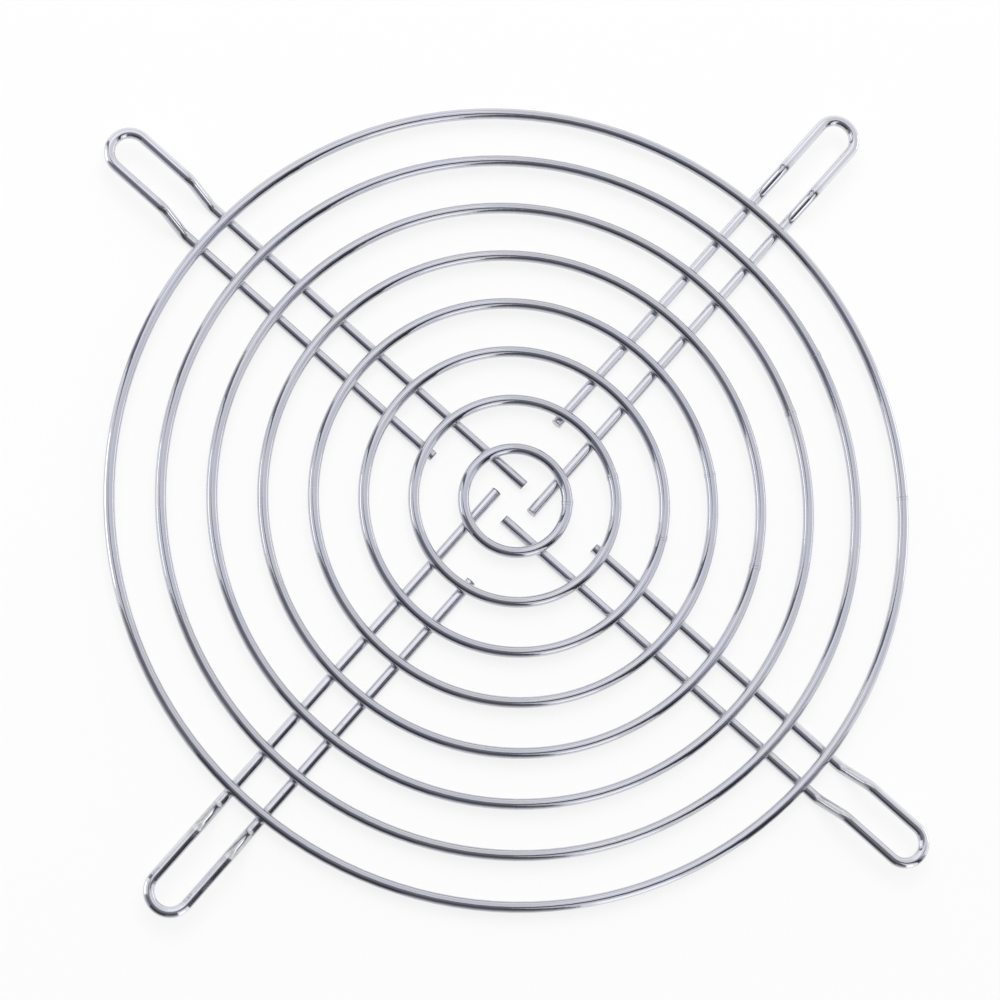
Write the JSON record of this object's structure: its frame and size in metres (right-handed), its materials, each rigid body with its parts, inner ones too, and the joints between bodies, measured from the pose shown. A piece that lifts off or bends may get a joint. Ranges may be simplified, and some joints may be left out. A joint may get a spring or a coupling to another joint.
{
  "type": "wire fan guard",
  "caption": "Round wire finger guard for an axial fan: concentric rings welded across hairpin ribs that end in raised screw loops.",
  "frame": {"origin": "on the axis of the guard, level with the underside of the rib legs, on which it lies", "axes": "+Z from the ribs to the rings and on to the raised screw loops, which is the side of the fan; +X and +Y run along the middle of two ribs"},
  "size_m": [0.1558, 0.1558, 0.0048],
  "materials": {
    "ring_wire": "bright nickel-chrome plate on drawn steel wire",
    "rib_wire": "bright nickel-chrome plate on drawn steel wire"
  },
  "bodies": {
    "root": {"ring_1": "ring_wire", "ring_2": "ring_wire", "ring_3": "ring_wire", "ring_4": "ring_wire", "ring_5": "ring_wire", "ring_6": "ring_wire", "ring_7": "ring_wire", "ring_8": "ring_wire", "rib_right": "rib_wire", "rib_back": "rib_wire", "rib_left": "rib_wire", "rib_front": "rib_wire"}
  },
  "joints": []
}
